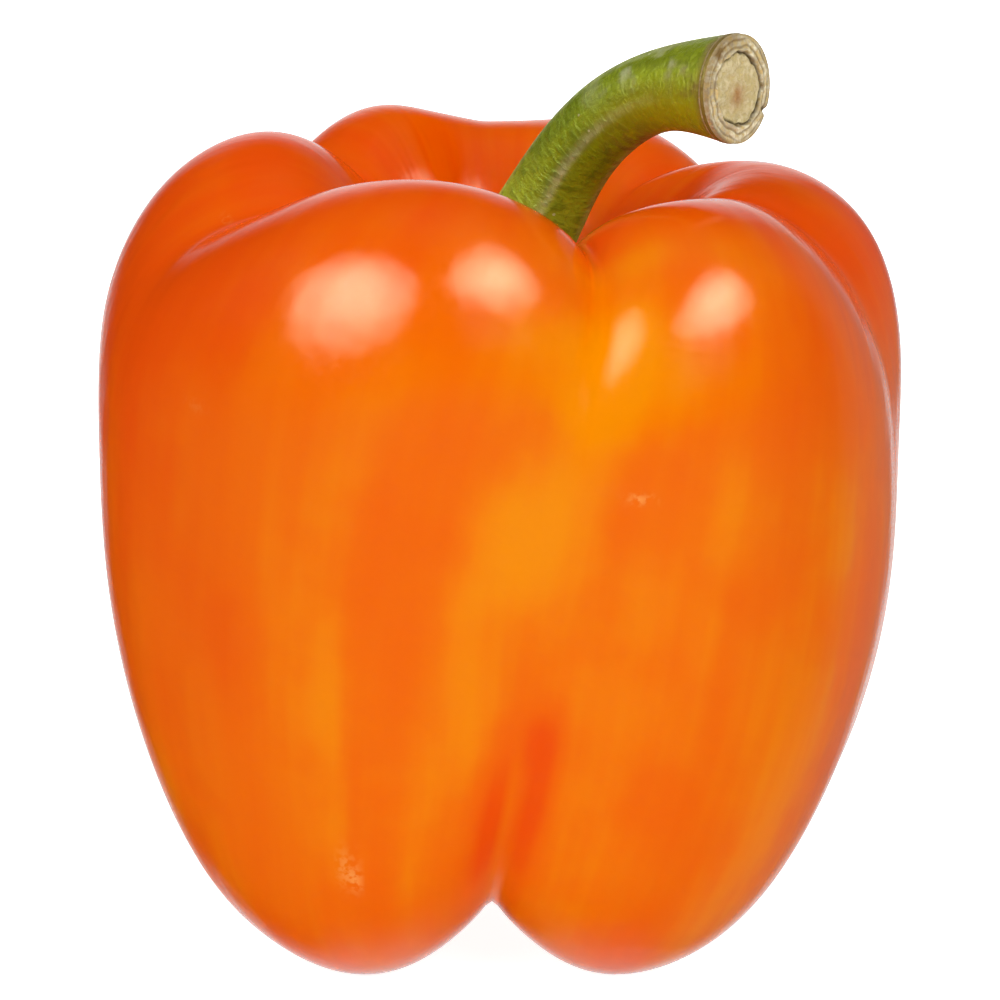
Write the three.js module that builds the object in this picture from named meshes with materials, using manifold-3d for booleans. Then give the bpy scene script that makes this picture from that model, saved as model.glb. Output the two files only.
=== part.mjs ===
// An orange bell pepper on its green stem, standing upright on the four feet of its blossom end.
// Millimetres, +Z up, with the side that faces the viewer towards -Y. The origin is on the floor,
// under the middle of the fruit.
import * as THREE from "three";
import { mergeVertices } from "three/addons/utils/BufferGeometryUtils.js";
import Module from "manifold-3d";

// The growth axis runs from the blossom scar to the stem, and stands this far from the origin.
const axisPlace = { x: -0.25, y: 1.05 };

// The six lobes, anticlockwise from the left one, and what is each one's own, in millimetres.
const lobes = ["left", "front left", "front right", "right", "back right", "back left"];
const reach = [0.0, 0.6, 0.5, 0.2, 0.3, 0.3]; // how far the wall stands out
const shoulder = [1.4, 0.3, -0.2, -0.5, 0, 0]; // the same at the shoulder only
const belly = [0.3, 0, 0.3, 1.35, 0, 0]; // the same below the middle only
const heel = [-1.6, 0.2, -1.5, -1.6, 0, 0]; // the same round the foot only
const lift = [2.4, -0.2, -0.2, 3.4, -0.4, -0.4]; // how far the foot hangs above the common outline
const rise = [-0.4, 0.2, -3.4, -4.7, -2.4, -0.8]; // how far the crest rises above it
const crestOut = [-1, 1, 1.5, 3, 0, 0]; // how far the crest sits out from the stem

// How far a lobe's ridge leans towards the furrow before it, at foot, wall, shoulder and crest.
const lean = [
  [0, 0, 0, 0],
  [0, 0, -0.3, -0.2],
  [0, 0.2, 0.75, 0.75],
  [0, 0, 0, 0],
  [0, 0, 0, 0],
  [0, 0, 0, 0],
];

// Where on the outline those values act: from none to all between two radii or two heights of it,
// or in a band round one height.
const clearOfAxis = [5, 19];
const onWall = [25, 37];
const pastFoot = [15, 27];
const lowWall = [36, 16];
const crestHeights = [40, 80];
const footHeights = [30, 0];
const bellyBand = { height: 28, width: 18 };
const shoulderBand = { height: 67, width: 10 };

// The furrow before each lobe: its bearing in degrees at the foot and at the crest, how blunt it is,
// and its depth at foot, wall, shoulder and crest as a share of the furrow outline below.
const furrows = [
  { foot: 152, crest: 139.5, blunt: 1, depth: [1, 0.8, 0.8, 0.9] },
  { foot: 190, crest: 204, blunt: 1.5, depth: [0.05, 0, 0.3, 0.85] },
  { foot: 267, crest: 294, blunt: 1, depth: [1.25, 0.6, 0.6, 1.2] },
  { foot: 350, crest: 358, blunt: 1, depth: [0.1, 0.2, 0.6, 0.7] },
  { foot: 385, crest: 402, blunt: 1, depth: [1, 0.8, 0.8, 0.9] },
  { foot: 450, crest: 454.5, blunt: 2, depth: [1, 0.7, 0.5, 0.15] },
];

// The outline from the blossom scar round the foot, up the wall, over the shoulder and down to the
// stem seat, as spline control points: [radius, height] down the middle of a lobe and along a furrow,
// the level (0 foot, 1 wall, 2 shoulder, 3 crest) and how steep the sides of a furrow are there. The
// bottom of every furrow is rounded over a share of the lobe's width.
const outline = [
  { lobe: [0, 11], furrow: [0, 11], level: 0, slope: 1 },
  { lobe: [6.5, 9.5], furrow: [6.5, 10.5], level: 0, slope: 1 },
  { lobe: [12, 2.5], furrow: [12, 9], level: 0, slope: 0.9 },
  { lobe: [19.5, -1.2], furrow: [18.5, 7], level: 0, slope: 0.8 },
  { lobe: [28.5, 0.5], furrow: [24.5, 8], level: 0.1, slope: 0.8 },
  { lobe: [35.5, 9.5], furrow: [30, 14], level: 0.3, slope: 0.9 },
  { lobe: [40.3, 23.5], furrow: [34.5, 26], level: 0.8, slope: 1.5 },
  { lobe: [42.8, 39], furrow: [37.5, 39], level: 1, slope: 2 },
  { lobe: [43.6, 54], furrow: [38.5, 52], level: 1.3, slope: 2 },
  { lobe: [43.4, 68.5], furrow: [37.5, 64], level: 1.7, slope: 1.5 },
  { lobe: [39.5, 81.5], furrow: [33, 74], level: 2.2, slope: 1 },
  { lobe: [31, 88], furrow: [26, 79.5], level: 2.8, slope: 0.75 },
  { lobe: [22.5, 88], furrow: [18.5, 80], level: 3, slope: 0.7 },
  { lobe: [15.5, 81], furrow: [13, 74.5], level: 3, slope: 0.8 },
  { lobe: [9.5, 69], furrow: [9, 68.5], level: 3, slope: 1 },
  { lobe: [0, 66.5], furrow: [0, 66.5], level: 3, slope: 1 },
];
const furrowRound = 0.06;
const fruitColumns = 72;
const fruitRows = 42;

// Slow waves in the skin of the wall: depth, lengths round and along the fruit, and where they begin.
const wave = { depth: 0.3, sideways: 8, upwards: 11, starts: [1.3, 0.4, 2.1, 2.9] };
const waveRadii = [20, 36];

// The stem's centreline from the calyx to the cut, with its radius, as spline control points. It
// rises from the hollow and bends over to the right and towards the viewer.
const stemLine = [
  { at: [0.8, 0.0, 70.4], radius: 5.8 },
  { at: [1.4, 0.2, 74.2], radius: 5.3 },
  { at: [4.6, -0.8, 80.0], radius: 4.8 },
  { at: [7.8, -3.0, 86.5], radius: 4.3 },
  { at: [12.2, -6.4, 91.9], radius: 4.3 },
  { at: [17.8, -10.4, 95.4], radius: 4.2 },
  { at: [24.8, -15.0, 95.5], radius: 5.9 },
];
const stemSide = new THREE.Vector3(0.56, 0.83, 0).normalize();
const stemRibs = { count: 5, height: 0.07, turn: 0.6, twist: 0.5 };
const stemSides = 30;
const stemRings = 26;

// The calyx lies on the skin of the hollow, with six blunt teeth a little way up its walls. Reach and
// tooth count rows of the outline back from the stem seat.
const calyx = { gap: 0.4, thick: 2.4, edge: 0.9, reach: 1.35, tooth: 0.4, teeth: 6, turn: 0.45 };
const calyxRings = 7;

// The dry face of the cut, a thin disc of cork and wood with a crack between rind and core.
const cutFace = { thick: 1.2, gap: 0.3, crackAt: 0.69, crackWide: 0.08, crackDeep: 0.35, dome: 0.25 };
const cutFaceRings = 9;

const skinColour = "#f07404";
const stemColour = "#7f8f1f";
const cutColour = "#c8b98c";

const wasm = await Module();
wasm.setup();

function smooth(x) {
  const c = Math.min(Math.max(x, 0), 1);
  return c * c * c * (c * (6 * c - 15) + 10);
}

function mix(a, b, share) {
  return a + (b - a) * share;
}

// A value that runs smoothly round the fruit through the values given at whole numbers of x.
function around(values, x) {
  const n = values.length;
  const i = Math.floor(x);
  return mix(values[((i % n) + n) % n], values[(((i + 1) % n) + n) % n], smooth(x - i));
}

// Bearing in degrees at x furrows round the fruit, evenly spread through the furrows' own bearings.
function bearing(level, x) {
  const n = furrows.length;
  const at = (i) => {
    const f = furrows[((i % n) + n) % n];
    return mix(f.foot, f.crest, level / 3) + 360 * Math.floor(i / n);
  };
  const i = Math.floor(x);
  const f = x - i;
  const slopeIn = (at(i + 1) - at(i - 1)) / 2;
  const slopeOut = (at(i + 2) - at(i)) / 2;
  return (
    (2 * f ** 3 - 3 * f ** 2 + 1) * at(i) +
    (f ** 3 - 2 * f ** 2 + f) * slopeIn +
    (3 * f ** 2 - 2 * f ** 3) * at(i + 1) +
    (f ** 3 - f ** 2) * slopeOut
  );
}

// From four values given at foot, wall, shoulder and crest, the one at a level.
function atLevel(values, level) {
  const low = Math.min(Math.floor(level), 2);
  return mix(values[low], values[low + 1], level - low);
}

function ramp([from, to], x) {
  return smooth((x - from) / (to - from));
}

function band({ height, width }, z) {
  return Math.exp(-(((z - height) / width) ** 2));
}

// How full a lobe is at a share of the way across it, from 0 in the furrow to 1 in its middle.
function bulge(across, power) {
  const b = Math.sin(Math.PI * across);
  if (b > furrowRound) return b ** power;
  return furrowRound ** power * (1 - (power / 2) * (1 - (b / furrowRound) ** 2));
}

// How far a place is from its furrow's bottom (0) to its lobe's ridge (1).
function fullness(level, slope, x) {
  const n = lobes.length;
  const straight = x - Math.floor(x);
  const leaning = atLevel(lean[((Math.floor(x) % n) + n) % n], level);
  const across = straight + leaning * straight * (1 - straight);
  const blunts = furrows.map((furrow) => furrow.blunt);
  const depths = furrows.map((furrow) => atLevel(furrow.depth, level));
  return 1 - (1 - bulge(across, slope * around(blunts, x))) * around(depths, x);
}

// One control point of the skin: ring is a row of the outline, turn the share of a full turn.
function controlPoint(ring, turn) {
  const { lobe, furrow, level, slope } = outline[ring];
  const [lobeRadius, lobeHeight] = lobe;
  const x = lobes.length * turn;
  const own = (values) => around(values, x - 0.5);
  const wall = ramp(onWall, lobeRadius);
  const crest = ramp(clearOfAxis, lobeRadius) * ramp(crestHeights, lobeHeight);
  const foot = ramp(clearOfAxis, lobeRadius) * ramp(footHeights, lobeHeight);
  const radius =
    lobeRadius +
    own(reach) * wall +
    own(shoulder) * wall * band(shoulderBand, lobeHeight) +
    own(belly) * wall * band(bellyBand, lobeHeight) +
    own(heel) * ramp(pastFoot, lobeRadius) * ramp(lowWall, lobeHeight) +
    own(crestOut) * crest;
  const height = lobeHeight + own(rise) * crest + own(lift) * foot;
  const share = fullness(level, slope, x);
  const r = mix(furrow[0], radius, share);
  const z = mix(furrow[1], height, share);
  const angle = THREE.MathUtils.degToRad(bearing(level, x));
  return new THREE.Vector3(r * Math.cos(angle), r * Math.sin(angle), z);
}

// The four weights of a uniform cubic B-spline.
function splineWeights(f) {
  return [
    (1 - f) ** 3 / 6,
    (3 * f ** 3 - 6 * f ** 2 + 4) / 6,
    (-3 * f ** 3 + 3 * f ** 2 + 3 * f + 1) / 6,
    f ** 3 / 6,
  ];
}

// A point of the skin: turn goes round from the left furrow, along from the scar (0) to the seat (1).
function skinPoint(turn, along) {
  const last = outline.length - 1;
  const i = Math.min(Math.floor(along * last), last - 1);
  const point = new THREE.Vector3();
  splineWeights(along * last - i).forEach((weight, k) => {
    const ring = i + k - 1;
    const inside = ring < 0 ? 1 : ring > last ? last - 1 : ring;
    const control = controlPoint(inside, turn);
    if (inside !== ring) control.set(-control.x, -control.y, control.z);
    point.addScaledVector(control, weight);
  });
  const radius = Math.hypot(point.x, point.y);
  const { depth, sideways, upwards, starts } = wave;
  const ripple =
    Math.sin(point.x / sideways + starts[0]) * Math.sin(point.z / upwards + starts[1]) +
    Math.sin(point.y / sideways + starts[2]) * Math.sin(point.z / upwards + starts[3]);
  const stretch = 1 + (depth * ripple * ramp(waveRadii, radius)) / Math.max(radius, 1);
  return new THREE.Vector3(point.x * stretch, point.y * stretch, Math.max(point.z, 0));
}

// The skin's outward direction, from points a small step to each side.
function skinNormal(turn, along) {
  const step = 0.002;
  const inner = Math.min(along, 1 - step);
  const round = skinPoint(turn + step, inner).sub(skinPoint(turn - step, inner));
  const up = skinPoint(turn, inner + step).sub(skinPoint(turn, inner - step));
  const normal = round.cross(up).normalize();
  return normal.lerp(new THREE.Vector3(0, 0, 1), smooth((along - 0.97) / 0.03)).normalize();
}

// A sphere's grid moved point by point: place gets the turn and the share of the way up, 0 to 1.
function movedSphere(columns, rows, place) {
  const geometry = new THREE.SphereGeometry(1, columns, rows);
  const { position, uv } = geometry.attributes;
  for (let i = 0; i < position.count; i++) {
    const pole = uv.getY(i) < 1e-6 || uv.getY(i) > 1 - 1e-6;
    const turn = pole ? 0 : Math.round(uv.getX(i) * columns) % columns;
    const point = place(turn / columns, Math.round(uv.getY(i) * rows) / rows);
    position.setXYZ(i, point.x, point.y, point.z);
  }
  return bare(geometry);
}

// A flat round piece with a face, a rim and a back: place gets the turn, the share of the way out
// from the middle, and whether the point is on the face.
function disc(columns, rings, place) {
  return movedSphere(columns, 2 * rings + 1, (turn, up) => {
    const ring = Math.round(up * (2 * rings + 1));
    const face = ring > rings;
    return place(turn, (face ? 2 * rings + 1 - ring : ring) / rings, face);
  });
}

// Only the places of the corners are kept, and corners in one place are joined.
function bare(geometry) {
  geometry.deleteAttribute("normal");
  geometry.deleteAttribute("uv");
  return mergeVertices(geometry, 1e-4);
}

function solidFrom(geometry) {
  return new wasm.Manifold(
    new wasm.Mesh({
      numProp: 3,
      vertProperties: new Float32Array(geometry.attributes.position.array),
      triVerts: new Uint32Array(geometry.index.array),
    }),
  );
}

function geometryFrom(solid) {
  const { vertProperties, triVerts } = solid.getMesh();
  const geometry = new THREE.BufferGeometry();
  geometry.setAttribute("position", new THREE.BufferAttribute(vertProperties, 3));
  geometry.setIndex(new THREE.BufferAttribute(triVerts, 1));
  geometry.computeVertexNormals();
  return geometry;
}

// The stem's centre, radius and cross directions at a share of its length. The spline's ends are
// mirrored, so that it begins and ends on its own end points.
function stemAt(share) {
  const last = stemLine.length - 1;
  const rows = stemLine.map(({ at, radius }) => [...at, radius]);
  const rowAt = (i) => {
    if (i < 0) return rows[0].map((value, k) => 2 * value - rows[1][k]);
    if (i > last) return rows[last].map((value, k) => 2 * value - rows[last - 1][k]);
    return rows[i];
  };
  const valuesAt = (x) => {
    const i = Math.min(Math.floor(x), last - 1);
    const weights = splineWeights(x - i);
    return rows[0].map((_, k) => weights.reduce((sum, w, j) => sum + w * rowAt(i + j - 1)[k], 0));
  };
  const step = 0.01;
  const x = share * last;
  const [a, b] = [Math.max(x - step, 0), Math.min(x + step, last)].map(
    (value) => new THREE.Vector3(...valuesAt(value).slice(0, 3)),
  );
  const values = valuesAt(x);
  const forward = b.sub(a).normalize();
  const side = stemSide.clone().addScaledVector(forward, -stemSide.dot(forward)).normalize();
  return {
    centre: new THREE.Vector3(...values.slice(0, 3)),
    radius: values[3],
    forward,
    side,
    over: side.clone().cross(forward),
  };
}

// A point of the stem's cross-section: angle round it, out from the middle as a share of the radius.
function stemPoint(share, angle, out) {
  const { centre, radius, side, over } = stemAt(share);
  const { count, height, turn, twist } = stemRibs;
  const rib = height * Math.cos(count * (angle - turn - twist * share)) * (1 - smooth(share));
  const r = radius * out * (1 + rib);
  return centre.addScaledVector(side, r * Math.cos(angle)).addScaledVector(over, r * Math.sin(angle));
}

function makeFruit() {
  return movedSphere(fruitColumns, fruitRows, skinPoint);
}

function makeStemTube() {
  const geometry = new THREE.CylinderGeometry(1, 1, 1, stemSides, stemRings);
  const { position } = geometry.attributes;
  const endStep = 0.01;
  const endPace = stemAt(1).centre.distanceTo(stemAt(1 - endStep).centre) / endStep;
  const shareEnd = 1 - (cutFace.thick + cutFace.gap) / endPace;
  for (let i = 0; i < position.count; i++) {
    const [x, y, z] = [position.getX(i), position.getY(i), position.getZ(i)];
    const share = (y + 0.5) * shareEnd;
    const point = stemPoint(share, Math.atan2(z, x), Math.hypot(x, z));
    position.setXYZ(i, point.x, point.y, point.z);
  }
  return bare(geometry);
}

function makeCalyx() {
  const last = outline.length - 1;
  return disc(fruitColumns, calyxRings, (turn, out, face) => {
    const tooth = 0.5 + 0.5 * Math.cos(2 * Math.PI * calyx.teeth * (turn - calyx.turn));
    const along = 1 - (out * (calyx.reach + calyx.tooth * tooth * out ** 3)) / last;
    const lift = face ? mix(calyx.thick, calyx.edge, smooth(out * 1.2)) : 0;
    return skinPoint(turn, along).addScaledVector(skinNormal(turn, along), calyx.gap + lift);
  });
}

function makeStem() {
  return geometryFrom(solidFrom(makeStemTube()).add(solidFrom(makeCalyx())));
}

function makeCutFace() {
  const { forward } = stemAt(1);
  return disc(stemSides, cutFaceRings, (turn, out, face) => {
    const crack = Math.exp(-(((out - cutFace.crackAt) / cutFace.crackWide) ** 2));
    const relief = cutFace.dome * (1 - out ** 2) - cutFace.crackDeep * crack;
    const point = stemPoint(1, -2 * Math.PI * turn, out);
    return point.addScaledVector(forward, face ? relief : -cutFace.thick);
  });
}

function named(name, geometry, color, roughness) {
  geometry.computeVertexNormals();
  const material = new THREE.MeshStandardMaterial({ color, roughness, metalness: 0 });
  const mesh = new THREE.Mesh(geometry, material);
  mesh.name = name;
  return mesh;
}

const pepper = new THREE.Group();
pepper.add(named("fruit", makeFruit(), skinColour, 0.25));
pepper.add(named("stem_and_calyx", makeStem(), stemColour, 0.55));
pepper.add(named("stem_cut_face", makeCutFace(), cutColour, 0.9));
pepper.position.set(axisPlace.x, axisPlace.y, 0);

export default pepper;
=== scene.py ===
# An orange bell pepper on its green stem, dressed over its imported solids. Metres, +Z up.
import math

import bmesh
import bpy
import numpy as np
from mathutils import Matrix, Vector


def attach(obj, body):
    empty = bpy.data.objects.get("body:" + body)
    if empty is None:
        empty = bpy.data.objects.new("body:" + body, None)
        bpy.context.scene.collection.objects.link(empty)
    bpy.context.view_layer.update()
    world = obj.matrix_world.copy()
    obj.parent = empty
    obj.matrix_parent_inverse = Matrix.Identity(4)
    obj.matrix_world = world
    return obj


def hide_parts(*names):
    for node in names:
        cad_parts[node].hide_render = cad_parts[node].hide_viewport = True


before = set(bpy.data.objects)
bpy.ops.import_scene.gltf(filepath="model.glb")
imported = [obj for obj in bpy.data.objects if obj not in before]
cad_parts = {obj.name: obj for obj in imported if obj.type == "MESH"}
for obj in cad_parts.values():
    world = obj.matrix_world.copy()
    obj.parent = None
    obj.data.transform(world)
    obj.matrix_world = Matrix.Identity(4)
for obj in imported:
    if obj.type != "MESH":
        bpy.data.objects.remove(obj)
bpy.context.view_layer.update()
mm = 0.001
print("frame loaded")


def smooth(x):
    c = np.clip(x, 0, 1)
    return c**3 * (c * (6 * c - 15) + 10)


def ramp(x, start, end):
    return smooth((x - start) / (end - start))


def mix(a, b, share):
    return a + (b - a) * share


def around(values, x):  # runs smoothly round the fruit through the values given at whole x
    values = np.asarray(values, float)
    i = np.floor(x).astype(int)
    return mix(values[i % len(values)], values[(i + 1) % len(values)], smooth(x - i))


def splineWeights(f):  # uniform cubic B-spline
    return ((1 - f) ** 3 / 6, (3 * f**3 - 6 * f**2 + 4) / 6,
            (-3 * f**3 + 3 * f**2 + 3 * f + 1) / 6, f**3 / 6)


def bell(x, centre, width):
    return np.exp(-(((x - centre) / width) ** 2))


def roundDistance(turn, centre):  # share of a full turn, signed
    return (turn - centre + 0.5) % 1.0 - 0.5


# Millimetres. The six lobes run anticlockwise from the left one; furrow k lies before lobe k.
# Outline rows go from the blossom scar round the foot, up the wall and down to the stem seat:
# lobe radius and height, furrow radius and height, level (0 foot to 3 crest), steepness of furrow.
fruit = {
    "axisPlace": (-0.25, 1.05),
    "reach": (0.0, 0.6, 0.5, 0.2, 0.3, 0.3),  # how far the wall stands out
    "shoulder": (1.8, 0.3, -0.2, -0.5, 0.0, 0.0),  # the same at the shoulder only
    "belly": (0.7, 0.0, 0.3, 2.0, 0.0, 0.0),  # the same below the middle only
    "heel": (-1.6, 0.2, -1.5, -1.6, 0.0, 0.0),  # the same round the foot only
    "lift": (2.8, -0.2, -0.2, 4.0, -0.4, -0.4),  # how far the foot hangs above the common outline
    "rise": (-0.4, 0.2, -3.4, -4.7, -2.4, -0.8),  # how far the crest rises above it
    "crestOut": (-1.0, 1.0, 1.5, 3.0, 0.0, 0.0),  # how far the crest sits out from the stem
    # how far a lobe's ridge leans towards the furrow before it, at foot, wall, shoulder and crest
    "lean": ((0, 0, 0, 0, 0, 0), (0, 0, 0.2, 0, 0, 0), (0, -0.3, 0.75, 0, 0, 0), (0, -0.2, 0.75, 0, 0, 0)),
    "furrowFoot": (152, 190, 267, 350, 385, 450),
    "furrowCrest": (139.5, 204, 294, 358, 402, 454.5),
    "furrowBlunt": (1.0, 1.5, 1.0, 1.0, 1.0, 2.0),
    "furrowDepth": ((1.0, 0.05, 1.25, 0.1, 1.0, 1.0), (0.8, 0.0, 0.6, 0.2, 0.8, 0.7),
                    (0.8, 0.3, 0.6, 0.6, 0.8, 0.5), (0.9, 0.85, 1.2, 0.7, 0.9, 0.15)),
    "furrowRound": 0.06,
    "outline": (
        (0, 11, 0, 11, 0, 1.0),
        (6.5, 9.5, 6.5, 10.5, 0, 1.0),
        (12, 2.5, 12, 9, 0, 0.9),
        (19.5, -1.2, 18.5, 7, 0, 0.8),
        (28.5, 0.5, 24.5, 8, 0.1, 0.8),
        (35.5, 9.5, 30, 14, 0.3, 0.9),
        (40.3, 23.5, 34.5, 26, 0.8, 1.5),
        (42.8, 39, 37.5, 39, 1, 2.0),
        (43.6, 54, 38.5, 52, 1.3, 2.0),
        (43.4, 68.5, 37.5, 64, 1.7, 1.5),
        (39.5, 81.5, 33, 74, 2.2, 1.0),
        (31, 88, 26, 79.5, 2.8, 0.75),
        (22.5, 88, 18.5, 80, 3, 0.7),
        (15.5, 81, 13, 74.5, 3, 0.8),
        (9.5, 69, 9, 68.5, 3, 1.0),
        (0, 66.5, 0, 66.5, 3, 1.0),
    ),
    # where those values act: from none to all between two radii or heights, or round one height
    "clearOfAxis": (5, 19),
    "onWall": (25, 37),
    "pastFoot": (15, 27),
    "lowWall": (36, 16),
    "crestHeights": (40, 80),
    "footHeights": (30, 0),
    "bellyBand": (28, 18),
    "shoulderBand": (67, 10),
    "wave": (0.3, 8.0, 11.0),  # depth, length sideways, length upwards
    "wavePhases": (1.3, 0.4, 2.1, 2.9),
    "waveRadii": (20, 36),
    "seatNormal": (0.97, 1.0),  # share up where the normal turns straight up
    "columns": 288,
    "rows": 200,
}
outlineRows = len(fruit["outline"])


def bearing(level, x):  # degrees at x furrows round, spread evenly through the furrows' own
    foot, crest = np.array(fruit["furrowFoot"], float), np.array(fruit["furrowCrest"], float)
    own = mix(foot, crest, level / 3)
    n = len(own)

    def at(i):
        return own[i % n] + 360 * (i // n)

    i = np.floor(x).astype(int)
    f = x - i
    slopeIn, slopeOut = (at(i + 1) - at(i - 1)) / 2, (at(i + 2) - at(i)) / 2
    return ((2 * f**3 - 3 * f**2 + 1) * at(i) + (f**3 - 2 * f**2 + f) * slopeIn
            + (3 * f**2 - 2 * f**3) * at(i + 1) + (f**3 - f**2) * slopeOut)


def bulge(across, power):  # 0 in the furrow, whose bottom is rounded, to 1 in the lobe's middle
    b, e = np.sin(np.pi * across), fruit["furrowRound"]
    return np.where(b > e, np.maximum(b, e) ** power,
                    e**power * (1 - power / 2 * (1 - (b / e) ** 2)))


def controlPoint(ring, turn):
    lobeR, lobeZ, furrowR, furrowZ, level, slope = fruit["outline"][ring]
    x = 6 * turn
    low = min(int(level), 2)
    depths = mix(np.array(fruit["furrowDepth"][low]), np.array(fruit["furrowDepth"][low + 1]), level - low)
    power = slope * around(fruit["furrowBlunt"], x)
    across = x - np.floor(x)
    lean = mix(np.array(fruit["lean"][low]), np.array(fruit["lean"][low + 1]), level - low)
    across = across + lean[np.floor(x).astype(int) % 6] * across * (1 - across)
    share = 1 - (1 - bulge(across, power)) * around(depths, x)
    inner, outer = ramp(lobeR, *fruit["clearOfAxis"]), ramp(lobeR, *fruit["onWall"])
    high, under = ramp(lobeZ, *fruit["crestHeights"]), ramp(lobeZ, *fruit["footHeights"])
    heelShare = ramp(lobeR, *fruit["pastFoot"]) * ramp(lobeZ, *fruit["lowWall"])
    radius = (lobeR + around(fruit["heel"], x - 0.5) * heelShare
              + around(fruit["reach"], x - 0.5) * outer
              + around(fruit["belly"], x - 0.5) * outer * bell(lobeZ, *fruit["bellyBand"])
              + around(fruit["shoulder"], x - 0.5) * outer * bell(lobeZ, *fruit["shoulderBand"])
              + around(fruit["crestOut"], x - 0.5) * inner * high)
    height = (lobeZ + around(fruit["rise"], x - 0.5) * inner * high
              + around(fruit["lift"], x - 0.5) * inner * under)
    r, z = mix(furrowR, radius, share), mix(furrowZ, height, share)
    angle = np.radians(bearing(level, x))
    return np.stack([r * np.cos(angle), r * np.sin(angle), z], axis=1)


def skinPoint(turn, along):  # millimetres from the growth axis; along 0 scar, 1 stem seat
    last = outlineRows - 1
    place = np.clip(along, 0, 1) * last
    interval = np.minimum(np.floor(place).astype(int), last - 1)
    point = np.zeros((len(turn), 3))
    for i in range(last):
        here = interval == i
        if not here.any():
            continue
        for k, weight in enumerate(splineWeights(place[here] - i)):
            ring = i + k - 1
            inside = 1 if ring < 0 else last - 1 if ring > last else ring
            control = controlPoint(inside, turn[here])
            if inside != ring:
                control[:, :2] *= -1
            point[here] += control * weight[:, None]
    depth, sideways, upwards = fruit["wave"]
    sideFirst, upFirst, sideSecond, upSecond = fruit["wavePhases"]
    radius = np.hypot(point[:, 0], point[:, 1])
    ripple = (np.sin(point[:, 0] / sideways + sideFirst) * np.sin(point[:, 2] / upwards + upFirst)
              + np.sin(point[:, 1] / sideways + sideSecond) * np.sin(point[:, 2] / upwards + upSecond))
    push = depth * ripple * ramp(radius, *fruit["waveRadii"])
    point[:, :2] *= (1 + push / np.maximum(radius, 1))[:, None]
    point[:, 2] = np.maximum(point[:, 2], 0)  # the feet are pressed flat on the floor
    return point


def skinNormal(turn, along):
    step = 0.002
    inner = np.minimum(along, 1 - step)
    sideways = skinPoint(turn + step, inner) - skinPoint(turn - step, inner)
    upwards = skinPoint(turn, inner + step) - skinPoint(turn, inner - step)
    normal = np.cross(sideways, upwards)
    normal /= np.linalg.norm(normal, axis=1)[:, None]
    toTop = ramp(along, *fruit["seatNormal"])[:, None]
    normal = mix(normal, np.array([0.0, 0.0, 1.0]), toTop)
    return normal / np.linalg.norm(normal, axis=1)[:, None]


def movedSphere(bm, columns, rows, place):  # place gives points and marks for turns and shares up
    made = bmesh.ops.create_uvsphere(bm, u_segments=columns, v_segments=rows, radius=1)["verts"]
    ball = np.array([v.co for v in made])
    turn = np.round(np.arctan2(ball[:, 1], ball[:, 0]) / (2 * np.pi) * columns) % columns / columns
    up = np.round((1 - np.arccos(np.clip(ball[:, 2], -1, 1)) / np.pi) * rows) / rows
    points, marks = place(turn, up)
    points = (points + np.array([*fruit["axisPlace"], 0])) * mm
    for v, p in zip(made, points):
        v.co = p
    return made, marks


def discRings(rings, up):  # share of the way out, and whether it is on the face, of a flat round piece
    ring = np.round(up * (2 * rings + 1))
    face = ring > rings
    return np.where(face, 2 * rings + 1 - ring, ring) / rings, face


def finishPiece(bm, name, shapes, material, node):  # each shape is its points and their marks
    mesh = bpy.data.meshes.new(name)
    bm.verts.index_update()  # two spheres in one bmesh don't stay in the order they were made in
    order = np.array([v.index for made, marks in shapes for v in made])
    bm.to_mesh(mesh)
    bm.free()
    mesh.polygons.foreach_set("use_smooth", [True] * len(mesh.polygons))
    for key in shapes[0][1]:
        given = np.concatenate([marks[key] for made, marks in shapes])
        values = np.zeros(given.shape, np.float32)
        values[order] = given
        kind = "FLOAT_VECTOR" if values.ndim == 2 else "FLOAT"
        layer = mesh.attributes.new(key, kind, "POINT")
        layer.data.foreach_set("vector" if values.ndim == 2 else "value", values.ravel())
    mesh.materials.append(material)
    piece = bpy.data.objects.new(name, mesh)
    bpy.context.scene.collection.objects.link(piece)
    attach(piece, "root")
    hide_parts(node)
    print(name, "made,", len(mesh.vertices), "vertices")


def colour(text):  # from a six-figure screen colour to linear light
    values = [int(text[i:i + 2], 16) / 255 for i in (0, 2, 4)]
    return tuple(v / 12.92 if v <= 0.04045 else ((v + 0.055) / 1.055) ** 2.4 for v in values) + (1.0,)


def addNode(tree, kind, inputs=None, **settings):
    node = tree.nodes.new(kind)
    for key, value in settings.items():
        setattr(node, key, value)
    for key, value in (inputs or {}).items():
        if isinstance(value, bpy.types.NodeSocket):
            tree.links.new(value, node.inputs[key])
        else:
            node.inputs[key].default_value = value
    return node


def mixColours(tree, share, a, b):
    return addNode(tree, "ShaderNodeMix", {0: share, 6: a, 7: b}, data_type="RGBA").outputs[2]


def maths(tree, operation, a, b=0.0):
    return addNode(tree, "ShaderNodeMath", {0: a, 1: b}, operation=operation).outputs[0]


def cover(tree, base, mask, amount, text):  # lays a screen colour over the base where the mask is
    return mixColours(tree, maths(tree, "MULTIPLY", mask, amount), base, colour(text))


def span(tree, value, low, high, toLow=0.0, toHigh=1.0):
    return addNode(tree, "ShaderNodeMapRange", {"Value": value, "From Min": low, "From Max": high,
                                                "To Min": toLow, "To Max": toHigh},
                   interpolation_type="SMOOTHSTEP").outputs[0]


def noise(tree, vector, scale, detail=2.0, roughness=0.5):
    return addNode(tree, "ShaderNodeTexNoise", {"Vector": vector, "Scale": scale, "Detail": detail,
                                                "Roughness": roughness}).outputs["Fac"]


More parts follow.
